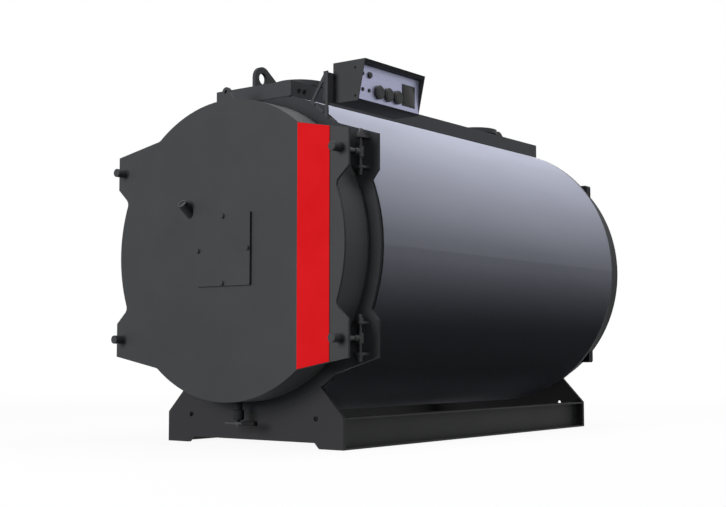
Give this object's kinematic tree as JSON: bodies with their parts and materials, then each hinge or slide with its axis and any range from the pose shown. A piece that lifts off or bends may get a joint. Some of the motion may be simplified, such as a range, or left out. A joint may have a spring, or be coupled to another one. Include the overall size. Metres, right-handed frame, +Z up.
{
  "type": "industrial fire-tube boiler",
  "caption": "Horizontal fire-tube hot water boiler: silver jacketed shell on a steel base, hinged front door with burner plate, rear smoke box, top water flanges and a side control panel",
  "frame": {"origin": "On the floor, under the middle of the overall length and width", "axes": "+X to the right seen from the front, the door faces -Y, +Z up; the boiler axis runs along Y"},
  "size_m": [1.39, 2.5808, 1.6509],
  "materials": {
    "base_paint": "satin",
    "body_paint": "satin",
    "boiler_steel": "rolled",
    "jacket_sheet": "silver lacquer",
    "door_paint": "satin",
    "lining": "rough cast",
    "rope_seal": "woven, graphited",
    "red_paint": "satin",
    "hardware_paint": "satin",
    "sight_glass": "polished",
    "panel_paint": "satin",
    "panel_sheet": "satin",
    "black_plastic": "satin",
    "valve_metal": "painted"
  },
  "bodies": {
    "boiler": {"base_front_plate": "base_paint", "base_rear_plate": "base_paint", "base_channel_left": "base_paint", "base_channel_right": "base_paint", "front_plate": "body_paint", "rear_plate": "body_paint", "smoke_box": "body_paint", "smoke_cover": "body_paint", "flue_spigot": "body_paint", "smoke_box_clamps": "body_paint", "platform": "body_paint", "lifting_lug_front": "body_paint", "lifting_lug_rear": "body_paint", "flow_pipe": "body_paint", "flow_flange": "body_paint", "return_pipe": "body_paint", "return_flange": "body_paint", "panel_bracket": "body_paint", "hinge_lugs": "body_paint", "pressure_shell": "boiler_steel", "furnace": "boiler_steel", "smoke_tubes": "boiler_steel", "jacket": "jacket_sheet", "latch_swivels": "hardware_paint", "hinge_pins": "hardware_paint", "panel_box": "panel_paint", "panel_face": "panel_sheet", "panel_display": "black_plastic", "panel_buttons": "black_plastic"},
    "door": {"door_plate": "door_paint", "door_rim": "door_paint", "door_lining": "lining", "door_seal": "rope_seal", "red_strip": "red_paint", "burner_plate": "door_paint", "sight_tube": "door_paint", "sight_glass": "sight_glass", "door_knobs": "hardware_paint", "hinge_eye_bolts": "hardware_paint", "latch_rods": "hardware_paint", "drain_valve": "valve_metal"},
    "drain_lever": {"drain_lever": "valve_metal"},
    "dial_1": {"panel_dial_1": "black_plastic"},
    "dial_2": {"panel_dial_2": "black_plastic"},
    "dial_3": {"panel_dial_3": "black_plastic"}
  },
  "joints": [
    {"name": "door_hinge", "type": "hinge", "parent": "boiler", "child": "door", "pos_m": [0.619, -1.09858, 0.828], "axis": [0, 0, 1], "range_deg": [0, 100]},
    {"name": "drain_turn", "type": "hinge", "parent": "door", "child": "drain_lever", "pos_m": [0, -1.13558, 0.102], "axis": [0, 0, -1], "range_deg": [0, 90]},
    {"name": "dial_1_turn", "type": "hinge", "parent": "boiler", "child": "dial_1", "pos_m": [0.53904, -0.86808, 1.49246], "axis": [1, 0, -0.0098], "range_deg": [0, 270]},
    {"name": "dial_2_turn", "type": "hinge", "parent": "boiler", "child": "dial_2", "pos_m": [0.53904, -0.80108, 1.49246], "axis": [1, 0, -0.0098], "range_deg": [0, 270]},
    {"name": "dial_3_turn", "type": "hinge", "parent": "boiler", "child": "dial_3", "pos_m": [0.53904, -0.73408, 1.49246], "axis": [1, 0, -0.0098], "range_deg": [0, 270]}
  ]
}
